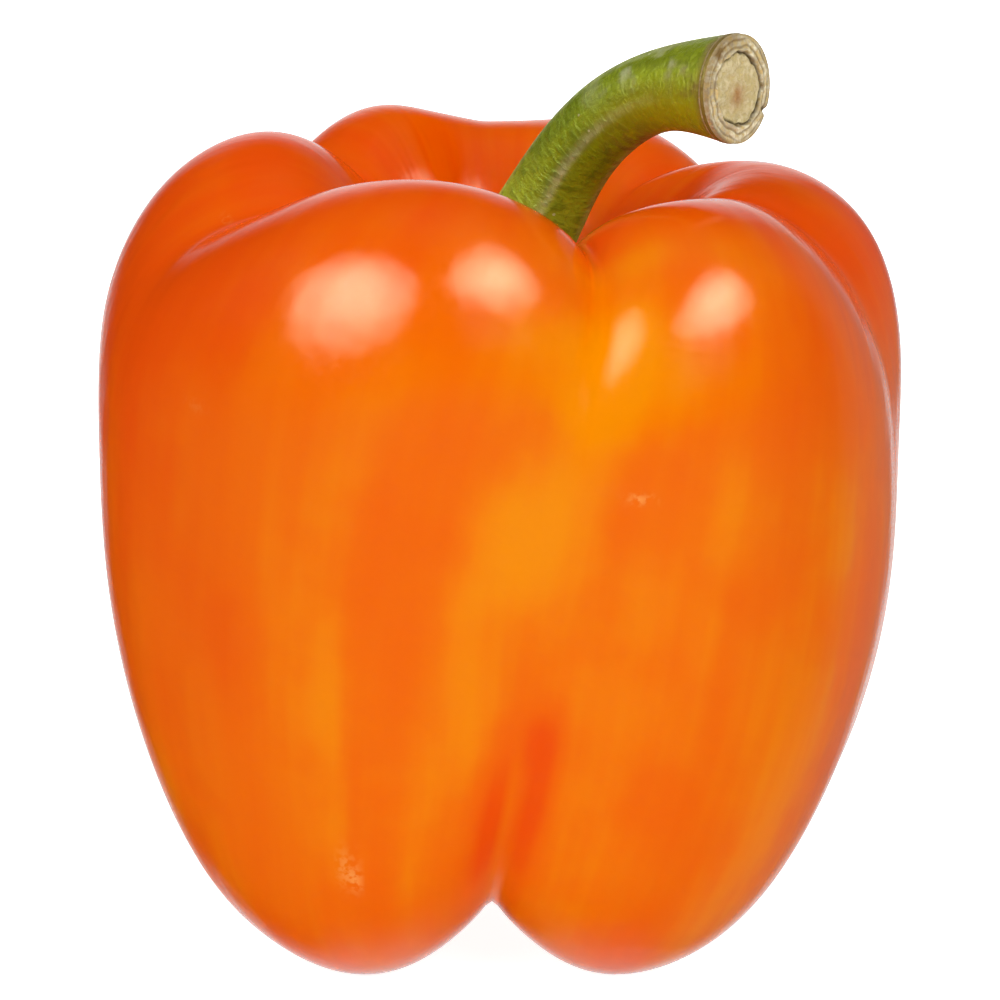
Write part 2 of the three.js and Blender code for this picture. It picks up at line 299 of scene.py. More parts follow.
def newGroup(name, inputs, output):
    group = bpy.data.node_groups.new(name, "ShaderNodeTree")
    for key, kind, value in inputs:
        socket = group.interface.new_socket(key, in_out="INPUT", socket_type=kind)
        if value is not None:
            socket.default_value = value
    group.interface.new_socket(output, in_out="OUTPUT", socket_type="NodeSocketFloat")
    return group, group.nodes.new("NodeGroupInput").outputs, group.nodes.new("NodeGroupOutput").inputs


def makeStreaks():  # soft streaks that run with the growth
    group, given, out = newGroup("growthStreaks", (
        ("Vector", "NodeSocketVector", None), ("Across", "NodeSocketFloat", 10.0),
        ("Along", "NodeSocketFloat", 1.0), ("Contrast", "NodeSocketFloat", 0.2)), "Streaks")
    stretch = addNode(group, "ShaderNodeCombineXYZ", {0: given["Across"], 1: given["Across"], 2: given["Along"]})
    place = addNode(group, "ShaderNodeVectorMath", {0: given["Vector"], 1: stretch.outputs[0]}, operation="MULTIPLY")
    value = noise(group, place.outputs[0], 1.0, 3.0, 0.55)
    low = maths(group, "SUBTRACT", 0.5, given["Contrast"])
    high = maths(group, "ADD", 0.5, given["Contrast"])
    group.links.new(span(group, value, low, high), out["Streaks"])
    return group


def makeFlecks():  # sparse round dots, each of its own size
    group, given, out = newGroup("sparseFlecks", (
        ("Vector", "NodeSocketVector", None), ("Scale", "NodeSocketFloat", 100.0),
        ("Radius", "NodeSocketFloat", 0.1), ("Share", "NodeSocketFloat", 0.1)), "Flecks")
    cells = addNode(group, "ShaderNodeTexVoronoi", {"Vector": given["Vector"], "Scale": given["Scale"]})
    chance = addNode(group, "ShaderNodeSeparateColor", {0: cells.outputs["Color"]})
    size = maths(group, "MULTIPLY", given["Radius"], chance.outputs["Green"])
    dot = span(group, maths(group, "SUBTRACT", size, cells.outputs["Distance"]), 0.0, 0.03)
    chosen = maths(group, "LESS_THAN", chance.outputs["Red"], given["Share"])
    group.links.new(maths(group, "MULTIPLY", dot, chosen), out["Flecks"])
    return group


streakGroup = makeStreaks()
fleckGroup = makeFlecks()


def streaks(tree, vector, across, along, contrast):
    return addNode(tree, "ShaderNodeGroup", node_tree=streakGroup, inputs={
        "Vector": vector, "Across": across, "Along": along, "Contrast": contrast}).outputs[0]


def flecks(tree, vector, scale, radius, share):
    return addNode(tree, "ShaderNodeGroup", node_tree=fleckGroup, inputs={
        "Vector": vector, "Scale": scale, "Radius": radius, "Share": share}).outputs[0]


def newMaterial(name):
    material = bpy.data.materials.new(name)
    material.use_nodes = True
    tree = material.node_tree
    tree.nodes.clear()
    surface = tree.nodes.new("ShaderNodeBsdfPrincipled")
    addNode(tree, "ShaderNodeOutputMaterial", {"Surface": surface.outputs[0]})
    return material, tree, surface


def mark(tree, name, output="Fac"):
    return addNode(tree, "ShaderNodeAttribute", attribute_name=name).outputs[output]


skinLook = {
    "red": "e04a00",
    "orange": "e46200",
    "yellow": "e88400",
    "fleck": "f4b060",
    "roughness": 0.15,
    "specular": 0.25,
    "wideStreaks": (3.0, 0.5, 0.2),  # how fine across and along, contrast
    "fineStreaks": (9.0, 0.8, 0.3),
    "wideShare": 0.5,
    "fineShare": 0.4,
    "blotchScale": 60.0,
    "blotchShare": 0.35,
    "warmthOffset": 0.62,  # taken off, so that the streaks and blotches are even about 0
    "redFade": (-1.1, 0.1),  # the warmth from red to orange, and from orange to yellow
    "yellowFade": (-0.1, 1.1),
    "flecks": (110.0, 0.06, 0.02),  # scale, radius, share
    "fleckAmount": 0.8,
    "grainScale": 2200.0,
    "growthLength": 4.7,  # the skin's way from scar to seat, in radii
    # a streak with one sharp side down the front left lobe: turn at foot and wall, up, width, amount
    "sharpStreak": (0.2785, 0.2745, 0.425, 0.07, 0.35),
    "streakBend": (0.36, 0.52),  # share up from foot to wall
    "streakSides": (0.016, 0.0012),  # how soft its two sides are, in turns
    # small pale healed scars: turn, up and their widths
    "scars": ((0.279, 0.361, 0.0022, 0.010), (0.281, 0.352, 0.0016, 0.006), (0.160, 0.709, 0.0030, 0.0014),
              (0.222, 0.584, 0.0035, 0.0008), (0.355, 0.555, 0.0030, 0.0025)),
    "scarColour": "f0a050",
    "scarAmount": 0.75,
    "scarScale": 1200.0,
    "scarDepth": 0.003,  # share of the radius
    # too deep or narrow to mirror the room, the front crease and the dip's back wall: turn, up, widths
    "creases": ((0.3333, 0.66, 0.006, 0.05), (0.894, 0.83, 0.035, 0.05)),
    "creaseSpecular": 0.0,
    "creaseStrength": 1.6,
    "grainHeight": 0.000003,
    "waveHeight": 0.0001,
    "warmthLow": 0.2,
    "warmthHigh": -0.70,
    "warmthFades": (0.50, 0.70),  # the share up the fruit where it goes from low to high
    # soft patches of warmth, towards yellow above 0 and red below, some of them painted highlight and painted shade
    # as marked: turn, up, their widths, amount
    "warmthAndLightPatches": (
        (0.346, 0.635, 0.022, 0.035, 0.80),  # the pale valley, down from the crease, its top partly painted highlight round the narrow mirrored highlight
        (0.338, 0.600, 0.020, 0.035, 0.50),
        (0.329, 0.565, 0.016, 0.030, 0.45),
        (0.321, 0.535, 0.012, 0.030, 0.70),
        (0.312, 0.495, 0.014, 0.040, 0.35),
        (0.315, 0.445, 0.010, 0.035, 0.50),
        # from here to the streaks below, painted highlight: yellower skirts round the mirrored boxes' highlights
        (0.322, 0.655, 0.020, 0.022, 0.60),
        (0.362, 0.625, 0.030, 0.035, 0.55),  # painted highlight round the mirrored boxes
        (0.362, 0.665, 0.030, 0.020, 0.50),
        (0.275, 0.612, 0.035, 0.025, 0.40),
        (0.384, 0.555, 0.020, 0.030, 0.35),
        (0.317, 0.705, 0.018, 0.035, 0.95),
        (0.340, 0.700, 0.018, 0.030, 0.75),
        (0.360, 0.710, 0.020, 0.025, 0.50),
        (0.378, 0.695, 0.012, 0.022, 0.60),
        (0.394, 0.685, 0.014, 0.035, 0.65),
        (0.291, 0.685, 0.014, 0.028, 0.65),
        (0.305, 0.640, 0.020, 0.032, 0.55),
        (0.324, 0.630, 0.012, 0.035, 0.35),
        (0.398, 0.640, 0.014, 0.045, 0.40),
        (0.271, 0.450, 0.008, 0.090, 0.15),  # streaks down the front left lobe
        (0.296, 0.400, 0.010, 0.060, 0.30),
        (0.238, 0.480, 0.014, 0.120, -0.75),
        (0.335, 0.425, 0.008, 0.020, -0.90),  # painted shade: redder on both sides of the furrow between the feet
        (0.3380, 0.385, 0.0060, 0.055, -1.60),
        (0.3240, 0.372, 0.0055, 0.052, -1.70),
        (0.3305, 0.375, 0.0011, 0.050, 0.50),  # painted light on the thin ridge in it
        (0.130, 0.500, 0.050, 0.200, -0.85),  # the left lobe
        (0.200, 0.560, 0.040, 0.080, -0.35),
        (0.560, 0.500, 0.070, 0.200, -0.30),
    ),
}


def makeSkin():
    material, tree, surface = newMaterial("waxySkin")
    place = addNode(tree, "ShaderNodeTexCoord").outputs["Object"]
    growth = mark(tree, "growth", "Vector")
    wide = streaks(tree, growth, *skinLook["wideStreaks"])
    fine = streaks(tree, growth, *skinLook["fineStreaks"])
    blotch = span(tree, noise(tree, place, skinLook["blotchScale"], 3.0), 0.35, 0.65)
    warmth = maths(tree, "ADD", mark(tree, "warmth"), maths(tree, "MULTIPLY", wide, skinLook["wideShare"]))
    warmth = maths(tree, "ADD", warmth, maths(tree, "MULTIPLY", fine, skinLook["fineShare"]))
    warmth = maths(tree, "ADD", warmth, maths(tree, "MULTIPLY", blotch, skinLook["blotchShare"]))
    warmth = maths(tree, "SUBTRACT", warmth, skinLook["warmthOffset"])
    base = mixColours(tree, span(tree, warmth, *skinLook["redFade"]), colour(skinLook["red"]),
                      colour(skinLook["orange"]))
    base = mixColours(tree, span(tree, warmth, *skinLook["yellowFade"]), base, colour(skinLook["yellow"]))
    dots = flecks(tree, place, *skinLook["flecks"])
    base = cover(tree, base, dots, skinLook["fleckAmount"], skinLook["fleck"])
    broken = span(tree, noise(tree, place, skinLook["scarScale"], 3.0), 0.4, 0.6)
    scar = maths(tree, "MULTIPLY", mark(tree, "scar"), broken)
    base = cover(tree, base, scar, skinLook["scarAmount"], skinLook["scarColour"])
    tree.links.new(base, surface.inputs["Base Color"])
    grain = noise(tree, place, skinLook["grainScale"], 2.0)
    rough = span(tree, grain, 0.3, 0.7, skinLook["roughness"] - 0.03, skinLook["roughness"] + 0.05)
    tree.links.new(rough, surface.inputs["Roughness"])
    wavy = addNode(tree, "ShaderNodeBump", {"Strength": 1.0, "Distance": skinLook["waveHeight"],
                                            "Height": maths(tree, "ADD", blotch, wide)})
    bump = addNode(tree, "ShaderNodeBump", {"Strength": 1.0, "Distance": skinLook["grainHeight"], "Height": grain,
                                            "Normal": wavy.outputs[0]})
    tree.links.new(bump.outputs[0], surface.inputs["Normal"])
    crease = mark(tree, "crease")
    tree.links.new(span(tree, crease, 0.0, 1.0, skinLook["specular"], skinLook["creaseSpecular"]),
                   surface.inputs["Specular IOR Level"])
    return material


def skinMarks(turn, up):
    angle = 2 * np.pi * turn
    unroll = np.stack([np.cos(angle), np.sin(angle), up * skinLook["growthLength"]], axis=1)
    lowEnd, highEnd = skinLook["warmthFades"]
    warmth = mix(skinLook["warmthLow"], skinLook["warmthHigh"], ramp(up, lowEnd, highEnd))
    for patchTurn, patchUp, turnWidth, upWidth, amount in skinLook["warmthAndLightPatches"]:
        sideways = bell(roundDistance(turn, patchTurn), 0.0, turnWidth)
        warmth = warmth + amount * sideways * bell(up, patchUp, upWidth)
    footTurn, wallTurn, streakUp, streakWide, amount = skinLook["sharpStreak"]
    bendStart, bendEnd = skinLook["streakBend"]
    edge = mix(footTurn, wallTurn, np.clip((up - bendStart) / (bendEnd - bendStart), 0, 1))
    soft, sharp = skinLook["streakSides"]
    side = np.where(turn < edge, ramp(turn, edge - soft, edge), ramp(turn, edge + sharp, edge))
    warmth += amount * side * bell(up, streakUp, streakWide)
    scar = np.zeros(len(turn))
    for scarTurn, scarUp, turnWidth, upWidth in skinLook["scars"]:
        scar += bell(roundDistance(turn, scarTurn), 0.0, turnWidth) * bell(up, scarUp, upWidth)
    crease = np.zeros(len(turn))
    for creaseTurn, creaseUp, turnWidth, upWidth in skinLook["creases"]:
        crease += bell(roundDistance(turn, creaseTurn), 0.0, turnWidth) * bell(up, creaseUp, upWidth)
    return {"growth": unroll, "warmth": warmth, "scar": np.clip(scar, 0, 1),
            "crease": np.clip(crease * skinLook["creaseStrength"], 0, 1)}


def makeFruit():
    def place(turn, up):
        marks = skinMarks(turn, up)
        points = skinPoint(turn, up)
        points[:, :2] *= 1 - skinLook["scarDepth"] * marks["scar"][:, None]
        return points, marks

    bm = bmesh.new()
    skin = movedSphere(bm, fruit["columns"], fruit["rows"], place)
    finishPiece(bm, "pepperFruit", [skin], makeSkin(), "fruit")


makeFruit()


# Millimetres. The line is the centreline's spline control points, each with its radius, from the
# calyx to the cut. Angles go round the stem in radians, shares run from 0 at the calyx to 1.
stem = {
    "line": ((0.8, 0.0, 70.4, 5.8), (1.4, 0.2, 74.2, 5.3), (4.6, -0.8, 80.0, 4.8), (7.8, -3.0, 86.5, 4.3),
             (12.2, -6.4, 91.9, 4.3), (17.8, -10.4, 95.4, 4.2), (25.1, -15.7, 95.7, 6.0)),
    "side": (0.56, 0.83, 0.0),  # the direction that angles round the stem start from
    "ribCount": 5,
    "ribHeight": 0.04,
    "ribTurn": 0.1,
    "ribTwist": 0.5,
    "columns": 120,
    "rows": 160,
    "capRows": 6,
    "capWidth": 0.93,  # the end under the cut face: its width as a share, and how far it is set in
    "capDepth": 0.9,
    "capTurn": 0.985,  # share up the stem where its edge turns in
    "growthLength": 10.0,
    "wearAndSheenAt": 0.62,  # share of a turn where the upper left of the stem is pale, partly rubbed wear and partly painted sheen
    "wearAndSheenSpread": (0.07, 0.82, 0.14),  # its width in turns, its share up and its length
    # share of a turn of the painted highlight line down the rib that faces the camera, its twist, and the share up
    # that the first is for
    "highlightLineAt": (0.444, 0.0796, 0.55),
    "highlightLineSpread": (0.012, 0.5, 0.22),
    "highlightLineAmount": 0.7,
    "ribHighlightPaint": (0.3, 8, 0.85),  # painted highlight on the rib crests: how strong, how narrow, and the share up where that ends
    "elbowAt": 0.25,  # share of a turn of the wrinkles inside the bend
    "elbowSpread": (0.13, 0.70, 0.09),
}
calyx = {  # its thicknesses in millimetres, its reach and teeth in outline rows
    "gap": 0.15,
    "thick": 2.6,
    "edge": 0.9,
    "reach": 1.35,
    "tooth": 0.4,
    "teeth": 6,
    "turn": 0.45,
    "thinning": 1.2,  # how soon it is as thin as its edge
    "growthLength": 0.5,
    "columns": 144,
    "rings": 24,
}


def stemAt(share):
    rows = np.array(stem["line"], float)
    last = len(rows) - 1
    rows = np.vstack([2 * rows[0] - rows[1], rows, 2 * rows[-1] - rows[-2]])

    def valuesAt(x):
        i = np.minimum(np.floor(x).astype(int), last - 1)
        return sum(w[:, None] * rows[i + k] for k, w in enumerate(splineWeights(x - i)))

    x = np.clip(share, 0, 1) * last
    step = 0.01
    values = valuesAt(x)
    forward = valuesAt(np.minimum(x + step, last))[:, :3] - valuesAt(np.maximum(x - step, 0))[:, :3]
    forward /= np.linalg.norm(forward, axis=1)[:, None]
    side = np.array(stem["side"]) / np.linalg.norm(stem["side"])
    side = side - forward * (forward @ side)[:, None]
    side /= np.linalg.norm(side, axis=1)[:, None]
    return values[:, :3], values[:, 3], forward, side, np.cross(side, forward)


def ribWave(angle, share):
    return np.cos(stem["ribCount"] * (angle - stem["ribTurn"] - stem["ribTwist"] * share))


def stemPoint(share, angle, out):
    centre, radius, forward, side, over = stemAt(share)
    r = radius * out * (1 + stem["ribHeight"] * ribWave(angle, share) * (1 - smooth(share)))
    return centre + side * (r * np.cos(angle))[:, None] + over * (r * np.sin(angle))[:, None]


stemLook = {
    "olive": "7e9008",
    "light": "a0b028",
    "dark": "4e6006",
    "yellow": "968a04",
    "scuff": "6b4a26",
    "pale": "c9cba0",
    "roughness": 0.36,
    "specular": 0.2,
    "wideStreaks": (1.6, 0.25, 0.15),  # how fine across and along, contrast
    "fineStreaks": (5.0, 1.1, 0.3),
    "wrinkles": (2.0, 6.0, 0.12),
    "mottleScale": 750.0,
    "wornScale": 260.0,
    "flecks": (1100.0, 0.28, 0.08),  # scale, radius, share
    "grainScale": 1500.0,
    "streakHeight": 0.00005,
    "grainHeight": 0.00006,
    # how much of its colour each effect lays over the ones before it
    "mottleAmount": 0.45,
    "paintedLightAmount": 0.80,
    "fineAmount": 0.09,
    "ribHighlightAmount": 0.75,
    "wrinkleAmount": 0.55,
    "yellowAmounts": (0.15, 0.8),  # beneath and above
    "scuffAmount": 0.7,
    "edgeAmount": 0.75,
    "wearAndSheenAmount": 0.5,
    "fleckAmount": 0.6,
    "elbowAmount": 0.8,
    # shares up the stem from none to all
    # painted light: the stem's base, shaded down in the dip, is lightened towards its foot
    "paintedLightBase": (0.60, 0.25),
    "yellowEnd": (0.55, 0.88),
    "scuffedEnd": (0.80, 0.99),
    "brownEdge": (0.955, 0.985),
}


def makeGreen():
    material, tree, surface = newMaterial("greenStem")
    place = addNode(tree, "ShaderNodeTexCoord").outputs["Object"]
    growth = mark(tree, "growth", "Vector")
    share = mark(tree, "share")
    wide = streaks(tree, growth, *stemLook["wideStreaks"])
    fine = streaks(tree, growth, *stemLook["fineStreaks"])
    wrinkle = streaks(tree, growth, *stemLook["wrinkles"])
    mottle = span(tree, noise(tree, place, stemLook["mottleScale"], 5.0, 0.65), 0.35, 0.65)
    base = mixColours(tree, wide, colour(stemLook["dark"]), colour(stemLook["olive"]))
    base = cover(tree, base, mottle, stemLook["mottleAmount"], stemLook["olive"])
    # painted light: the shaded base of the stem is lightened with the light green
    paintedLightBase = span(tree, share, *stemLook["paintedLightBase"])
    base = cover(tree, base, paintedLightBase, stemLook["paintedLightAmount"], stemLook["light"])
    base = cover(tree, base, fine, stemLook["fineAmount"], stemLook["light"])
    # painted highlight along the rib crests and down the rib that faces the camera
    ribHighlight = maths(tree, "MULTIPLY", mark(tree, "ribHighlight"), span(tree, mottle, 0.0, 1.0, 0.5, 1.0))
    base = cover(tree, base, ribHighlight, stemLook["ribHighlightAmount"], stemLook["pale"])
    cross = span(tree, maths(tree, "ADD", wrinkle, mottle), 1.0, 1.9)
    base = cover(tree, base, cross, stemLook["wrinkleAmount"], stemLook["dark"])
    across = addNode(tree, "ShaderNodeSeparateXYZ", {0: growth}).outputs
    under = span(tree, across["Y"], -0.6, 0.5, *stemLook["yellowAmounts"])
    towardsEnd = maths(tree, "MULTIPLY", span(tree, share, *stemLook["yellowEnd"]), under)
    base = mixColours(tree, towardsEnd, base, colour(stemLook["yellow"]))
    worn = span(tree, noise(tree, place, stemLook["wornScale"], 4.0), 0.5, 0.66)
    scuff = maths(tree, "MULTIPLY", span(tree, share, *stemLook["scuffedEnd"]), worn)
    base = cover(tree, base, scuff, stemLook["scuffAmount"], stemLook["scuff"])
    edge = span(tree, share, *stemLook["brownEdge"])
    base = cover(tree, base, edge, stemLook["edgeAmount"], stemLook["scuff"])
    # partly rubbed wear, partly painted sheen on the stem's upper left
    wearAndSheen = maths(tree, "MULTIPLY", mark(tree, "wearAndSheen"), worn)
    base = cover(tree, base, wearAndSheen, stemLook["wearAndSheenAmount"], stemLook["pale"])
    dots = flecks(tree, place, *stemLook["flecks"])
    base = cover(tree, base, dots, stemLook["fleckAmount"], stemLook["pale"])
    cracks = maths(tree, "MULTIPLY", mark(tree, "elbow"), span(tree, wrinkle, 0.3, 0.6, 0.2, 1.0))
    base = cover(tree, base, cracks, stemLook["elbowAmount"], stemLook["scuff"])
    tree.links.new(base, surface.inputs["Base Color"])
    grain = noise(tree, place, stemLook["grainScale"], 3.0)
    tree.links.new(span(tree, grain, 0.3, 0.7, stemLook["roughness"] - 0.06, stemLook["roughness"] + 0.1),
                   surface.inputs["Roughness"])
    lines = addNode(tree, "ShaderNodeBump", {"Strength": 1.0, "Distance": stemLook["streakHeight"],
                                             "Height": maths(tree, "ADD", mottle, wrinkle)})
    bump = addNode(tree, "ShaderNodeBump", {"Strength": 1.0, "Distance": stemLook["grainHeight"], "Height": grain,
                                            "Normal": lines.outputs[0]})
    tree.links.new(bump.outputs[0], surface.inputs["Normal"])
    surface.inputs["Specular IOR Level"].default_value = stemLook["specular"]
    return material


def makeStem():
    capShare = stem["capRows"] / stem["rows"]

    def placeTube(turn, up):
        angle = -2 * np.pi * turn
        share = np.clip((up - capShare) / (1 - 2 * capShare), 0, 1)
        out = np.clip(np.minimum(up, 1 - up) / capShare, 0, 1)
        far = up > 0.5
        turnedIn = mix(1, stem["capWidth"], ramp(share, stem["capTurn"], 1))
        width = np.where(out < 1, out * np.where(far, stem["capWidth"], 1), turnedIn)
        points = stemPoint(share, angle, width)
        points -= stemAt(share)[2] * np.where(far & (out < 1), stem["capDepth"], 0)[:, None]
        unroll = np.stack([np.cos(angle), np.sin(angle), share * stem["growthLength"]], axis=1)

        def spot(middle, spread):  # a soft mark round one turn and share up
            turnWidth, shareUp, length = spread
            return bell(roundDistance(angle / (2 * np.pi), middle), 0.0, turnWidth) * bell(share, shareUp, length)

        lineTurn, lineTwist, lineUp = stem["highlightLineAt"]
        highlightLine = spot(lineTurn + lineTwist * (share - lineUp), stem["highlightLineSpread"])
        ribs = np.clip(ribWave(angle, share), 0, 1)
        ribAmount, ribNarrow, ribEnd = stem["ribHighlightPaint"]
        # painted highlight: rib crests and one line down the rib that faces the camera
        ribHighlight = ribAmount * ribs**ribNarrow * (share < ribEnd) + stem["highlightLineAmount"] * highlightLine
        return points, {"growth": unroll, "share": share, "ribHighlight": ribHighlight,
                        "wearAndSheen": spot(stem["wearAndSheenAt"], stem["wearAndSheenSpread"]),
                        "elbow": spot(stem["elbowAt"], stem["elbowSpread"])}

    def placeCalyx(turn, up):
        out, face = discRings(calyx["rings"], up)
        tooth = 0.5 + 0.5 * np.cos(2 * np.pi * calyx["teeth"] * (turn - calyx["turn"]))
        along = 1 - out * (calyx["reach"] + calyx["tooth"] * tooth * out**3) / (outlineRows - 1)
        lift = np.where(face, mix(calyx["thick"], calyx["edge"], smooth(out * calyx["thinning"])), 0)
        points = skinPoint(turn, along) + skinNormal(turn, along) * (calyx["gap"] + lift)[:, None]
        angle = 2 * np.pi * turn
        unroll = np.stack([np.cos(angle), np.sin(angle), np.full(len(turn), calyx["growthLength"])], axis=1)
        unroll *= out[:, None]
        none = np.zeros(len(turn))
        return points, {"growth": unroll, "share": none, "ribHighlight": none, "wearAndSheen": none, "elbow": none}

    bm = bmesh.new()
    tube = movedSphere(bm, stem["columns"], stem["rows"], placeTube)
    cup = movedSphere(bm, calyx["columns"], 2 * calyx["rings"] + 1, placeCalyx)
    finishPiece(bm, "pepperStem", [tube, cup], makeGreen(), "stem_and_calyx")


makeStem()


cutFace = {  # heights and depths in millimetres, the rest as shares of the stem's radius there
    "thick": 1.2,
    "width": 0.965,
    "crackAt": 0.68,
    # how the crack wanders: times round, share of the radius, phase
    "crackWander": ((2, 0.03, 0.6), (5, 0.018, 2.0), (11, 0.012, 0.9), (19, 0.007, 0.0)),
    "crackWide": 0.022,
    "crackDeep": 0.4,
    "crackDark": 0.85,
    "coreEdge": 0.03,
    "coreDeep": 0.2,
    "dome": 0.15,
    "ridges": 46.0,
    "ridgeHeight": 0.05,
    "ridgeWander": ((3, 0.4, 1.0), (7, 0.9, 0.0), (13, 0.5, 2.0)),
    "ridgeFade": (0.97, 0.91),
    "lip": (0.1, 0.06, 0.03),  # height of the lip round the crack, how far out, width
    "nickAt": (0.55, 0.06, 0.5),  # angle, its width, depth
    "nickFade": (0.78, 0.94),
    "stainAt": (-0.36, 0.1),  # turn, width
    "stainFade": (0.72, 0.92),
    "heartAt": (-0.06, 0.12, 0.22),  # side, over, width
    "heartDark": 0.75,
    "columns": 192,
    "rings": 90,
}
cutLook = {
    "tan": "d8bd80",
    "pale": "faf0d0",
    "brown": "765214",
    "crack": "57401c",
    "core": "d0ba7e",
    "heart": "a86018",
    "roughness": 0.85,
    "specular": 0.2,
    "cellScale": 1500.0,
    "cellAmount": 0.35,
    "blotchScale": 420.0,
    "blotchAmount": 0.5,
    "ringAmount": 0.6,
    "edgeAmount": 0.55,
    "edgeFrom": 0.92,  # share of the way out
    "corkHeight": 0.0002,
}


def wander(angle, waves):
    return sum(height * np.sin(times * angle + phase) for times, height, phase in waves)


def crackRadius(angle):
    return cutFace["crackAt"] + wander(angle, cutFace["crackWander"])


def makeCork():
    material, tree, surface = newMaterial("dryCut")
    place = addNode(tree, "ShaderNodeTexCoord").outputs["Object"]
    out = mark(tree, "out")
    rings = mark(tree, "rings")
    cells = span(tree, noise(tree, place, cutLook["cellScale"], 4.0, 0.65), 0.35, 0.65)
    blotch = span(tree, noise(tree, place, cutLook["blotchScale"], 3.0), 0.42, 0.62)
    rind = mixColours(tree, cells, colour(cutLook["tan"]), colour(cutLook["pale"]))
    rind = cover(tree, rind, rings, cutLook["ringAmount"], cutLook["brown"])
    spots = maths(tree, "MULTIPLY", blotch, cells)
    rind = cover(tree, rind, spots, cutLook["blotchAmount"], cutLook["brown"])
    core = cover(tree, colour(cutLook["core"]), cells, cutLook["cellAmount"], cutLook["pale"])
    heart = maths(tree, "MULTIPLY", mark(tree, "heart"), span(tree, blotch, 0.0, 1.0, 0.6, 1.0))
    core = mixColours(tree, heart, core, colour(cutLook["heart"]))
    base = mixColours(tree, mark(tree, "core"), rind, core)
    edge = maths(tree, "MULTIPLY", span(tree, out, cutLook["edgeFrom"], 1.0), cutLook["edgeAmount"])
    stain = maths(tree, "MULTIPLY", mark(tree, "stain"), span(tree, blotch, 0.0, 1.0, 0.4, 0.9))
    base = mixColours(tree, maths(tree, "MAXIMUM", edge, stain), base, colour(cutLook["brown"]))
    base = mixColours(tree, mark(tree, "crack"), base, colour(cutLook["crack"]))
    tree.links.new(base, surface.inputs["Base Color"])
    surface.inputs["Roughness"].default_value = cutLook["roughness"]
    surface.inputs["Specular IOR Level"].default_value = cutLook["specular"]
    height = maths(tree, "ADD", cells, maths(tree, "MULTIPLY", blotch, 1.2))
    bump = addNode(tree, "ShaderNodeBump", {"Strength": 1.0, "Distance": cutLook["corkHeight"], "Height": height})
    tree.links.new(bump.outputs[0], surface.inputs["Normal"])
    return material


def makeCutFace():
    def place(turn, up):
        out, face = discRings(cutFace["rings"], up)
        angle = -2 * np.pi * turn
        end = np.ones(len(turn))
        crackAt = crackRadius(angle)
        core = smooth((crackAt - out) / cutFace["coreEdge"] + 0.5) * face
        crack = bell(out, crackAt, cutFace["crackWide"])
        rings = np.sin(cutFace["ridges"] * out + wander(angle, cutFace["ridgeWander"]))
        rings *= (1 - core) * ramp(out, *cutFace["ridgeFade"])
        nickAngle, nickWide, nickDeep = cutFace["nickAt"]
        nick = bell(roundDistance(angle / (2 * np.pi), nickAngle / (2 * np.pi)), 0.0, nickWide / (2 * np.pi))
        nick *= ramp(out, *cutFace["nickFade"])
        relief = cutFace["dome"] * (1 - out**2) - cutFace["crackDeep"] * crack - cutFace["coreDeep"] * core
        relief += cutFace["ridgeHeight"] * rings - nickDeep * nick
        lipHeight, lipOut, lipWide = cutFace["lip"]
        relief += lipHeight * bell(out, crackAt + lipOut, lipWide)
        points = stemPoint(end, angle, out * cutFace["width"])
        forward = stemAt(end)[2]
        points += forward * np.where(face, relief, -cutFace["thick"])[:, None]
        stainTurn, stainWide = cutFace["stainAt"]
        stain = bell(roundDistance(angle / (2 * np.pi), stainTurn), 0.0, stainWide)
        stain *= ramp(out, *cutFace["stainFade"]) * face
        heartSide, heartOver, heartWide = cutFace["heartAt"]
        fromHeart = np.hypot(out * np.cos(angle) - heartSide, out * np.sin(angle) - heartOver)
        return points, {"out": out, "crack": np.maximum(crack * cutFace["crackDark"], nick) * face, "core": core,
                        "rings": np.clip(-rings, 0, 1), "stain": stain,
                        "heart": cutFace["heartDark"] * bell(fromHeart, 0.0, heartWide)}

    bm = bmesh.new()
    disc = movedSphere(bm, cutFace["columns"], 2 * cutFace["rings"] + 1, place)
    finishPiece(bm, "pepperCutFace", [disc], makeCork(), "stem_cut_face")


makeCutFace()


studio = {
    "floorSize": 8.0,
    "floorColour": (0.97, 0.97, 0.97, 1.0),
    "floorRoughness": 0.9,
    "floorSpecular": 0.1,
    "floorGlow": 0.14,
    "floorWhite": 0.8,  # added for the camera only, so that the ground is as white as in the photo
    "roomFront": 0.02,  # how bright the room is before and behind the pepper
    "roomBack": 0.6,
    "mirroredBack": 1.0,  # and in reflections: behind, and at its right
    "mirroredRight": 0.18,
    # where each of these fades from none to all, by the direction's share of an axis
    "roomFade": (-0.7, 0.2),
    "mirroredBackFade": (0.45, 0.1),
    "mirroredRightFades": ((0.9, 0.65), (0.0, 0.2)),
    "mirroredFades": (("Y", -0.2, 0.4), ("Z", 0.7, 0.2)),
    "softLights": (  # place, size in metres, watts; they light but aren't mirrored in the skin
        ((-0.8, -1.1, 0.9), 1.0, 11.4),
        ((0.8, -1.1, 0.9), 1.0, 12.0),
        ((0.2, 0.1, 1.6), 1.2, 4.6),
        ((-1.3, 0.3, 0.8), 0.8, 2.5),
    ),
    "boxes": (  # place, width, height, watts a square metre; they are only mirrored in the skin
        ((-0.64, -0.62, 0.69), 1.35, 0.97, 60.0),
        ((0.73, -0.60, 1.03), 1.45, 0.92, 62.0),
    ),
    "boxColour": (1.0, 1.0, 0.70),
    "lampsLookAt": (0, 0, 0.05),
    "layerGap": 0.01,  # how far each face stands before the one under it, as a share of its distance
    # each box is this many faces one over the other, so its edge is soft
    "boxSteps": (1.0, 0.9, 0.8, 0.7, 0.6, 0.5, 0.4, 0.3, 0.2),
    "cameraDistance": 0.8,
    "cameraElevation": 13.0,
    "cameraAim": (-0.00025, 0.00105, 0.0478),
    "cameraWidth": 0.1085,
}


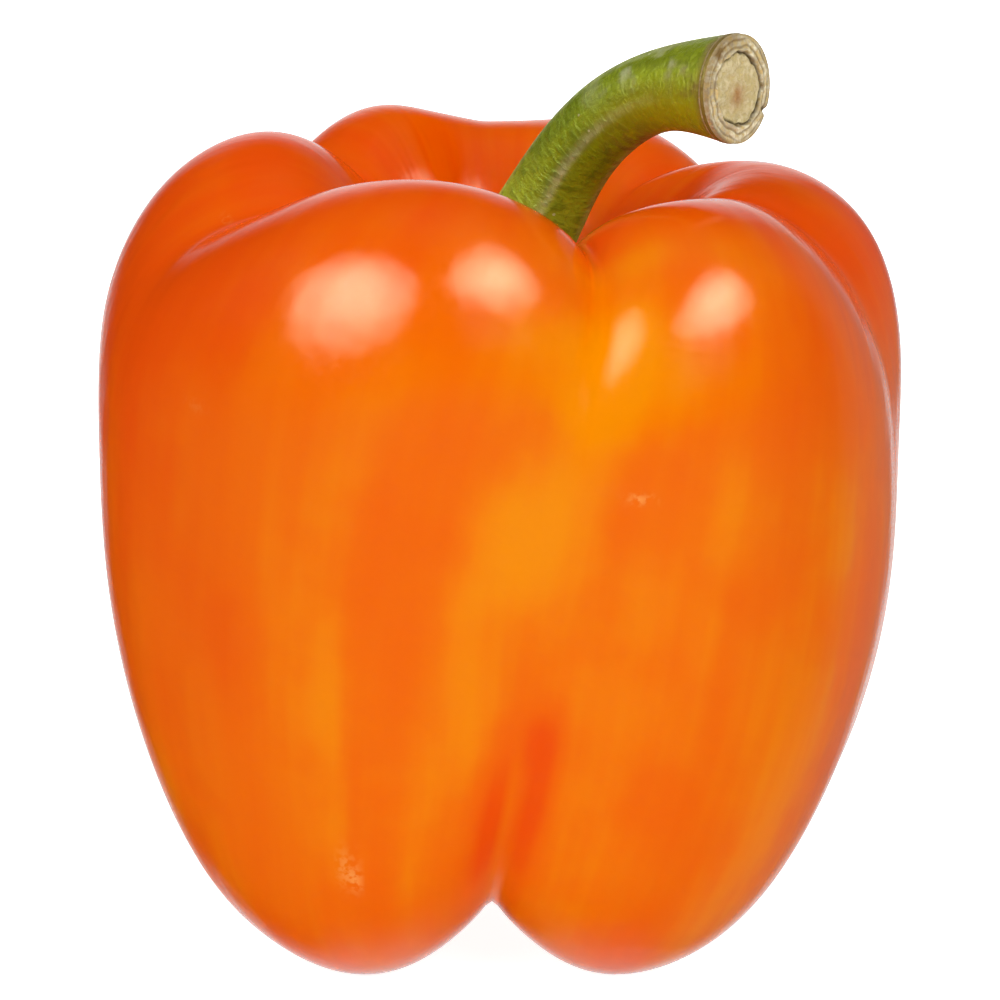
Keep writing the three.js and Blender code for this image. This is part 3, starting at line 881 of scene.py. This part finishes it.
def makeFloor():
    bm = bmesh.new()
    bmesh.ops.create_grid(bm, x_segments=1, y_segments=1, size=studio["floorSize"] / 2)
    mesh = bpy.data.meshes.new("floor")
    bm.to_mesh(mesh)
    bm.free()
    material, tree, surface = newMaterial("paleFloor")
    surface.inputs["Base Color"].default_value = studio["floorColour"]
    surface.inputs["Roughness"].default_value = studio["floorRoughness"]
    surface.inputs["Specular IOR Level"].default_value = studio["floorSpecular"]
    surface.inputs["Emission Color"].default_value = (1, 1, 1, 1)
    seen = addNode(tree, "ShaderNodeLightPath").outputs["Is Camera Ray"]
    glow = maths(tree, "ADD", maths(tree, "MULTIPLY", seen, studio["floorWhite"]), studio["floorGlow"])
    tree.links.new(glow, surface.inputs["Emission Strength"])
    mesh.materials.append(material)
    floor = bpy.data.objects.new("floor", mesh)
    floor.visible_glossy = False
    bpy.context.scene.collection.objects.link(floor)


def makeLamp(name, place, width, height, watts, shape="RECTANGLE"):
    lamp = bpy.data.lights.new(name, "AREA")
    lamp.shape = shape
    lamp.size, lamp.size_y = width, height
    lamp.energy = watts
    holder = bpy.data.objects.new(name, lamp)
    holder.location = place
    holder.rotation_euler = (Vector(studio["lampsLookAt"]) - Vector(place)).to_track_quat("-Z", "Y").to_euler()
    bpy.context.scene.collection.objects.link(holder)
    return holder


def makeLights():
    for number, (place, size, watts) in enumerate(studio["softLights"]):
        makeLamp("softLight%d" % (number + 1), place, size, size, watts).visible_glossy = False
    for number, (place, width, height, brightness) in enumerate(studio["boxes"]):
        for layer, share in enumerate(studio["boxSteps"]):
            watts = brightness * width * height * share**2 / len(studio["boxSteps"])
            near = 1 - studio["layerGap"] * layer
            lamp = makeLamp("mirroredBox%d_%d" % (number + 1, layer + 1), tuple(v * near for v in place),
                            width * share, height * share, watts, "ELLIPSE")
            lamp.visible_diffuse = False
            lamp.data.color = studio["boxColour"]
    world = bpy.data.worlds.new("softRoom")
    bpy.context.scene.world = world
    world.use_nodes = True
    tree = world.node_tree
    background = tree.nodes["Background"]
    background.inputs["Color"].default_value = (1, 1, 1, 1)
    direction = addNode(tree, "ShaderNodeTexCoord").outputs["Generated"]
    axes = addNode(tree, "ShaderNodeSeparateXYZ", {0: direction}).outputs
    strength = span(tree, axes["Y"], *studio["roomFade"], studio["roomFront"], studio["roomBack"])
    outer, inner = studio["mirroredRightFades"]
    right = maths(tree, "MULTIPLY", span(tree, axes["X"], *outer), span(tree, axes["X"], *inner))
    middle = span(tree, maths(tree, "ABSOLUTE", axes["X"]), *studio["mirroredBackFade"], 0.0,
                  studio["mirroredBack"])
    mirrored = maths(tree, "MAXIMUM", middle, maths(tree, "MULTIPLY", right, studio["mirroredRight"]))
    for axis, low, high in studio["mirroredFades"]:
        mirrored = maths(tree, "MULTIPLY", mirrored, span(tree, axes[axis], low, high))
    glossy = addNode(tree, "ShaderNodeLightPath").outputs["Is Glossy Ray"]
    chosen = addNode(tree, "ShaderNodeMix", {0: glossy, 2: strength, 3: mirrored}).outputs[0]
    tree.links.new(chosen, background.inputs["Strength"])


def makeCamera():
    camera = bpy.data.cameras.new("camera")
    holder = bpy.data.objects.new("camera", camera)
    tilt = math.radians(studio["cameraElevation"])
    back = Vector((0, -math.cos(tilt), math.sin(tilt)))
    holder.location = Vector(studio["cameraAim"]) + back * studio["cameraDistance"]
    holder.rotation_euler = (-back).to_track_quat("-Z", "Y").to_euler()
    camera.lens = camera.sensor_width * studio["cameraDistance"] / studio["cameraWidth"]
    camera.clip_start = 0.05
    bpy.context.scene.collection.objects.link(holder)
    bpy.context.scene.camera = holder


makeFloor()
makeLights()
makeCamera()
bpy.context.scene.view_settings.view_transform = "Standard"
print("floor, lights and camera made")
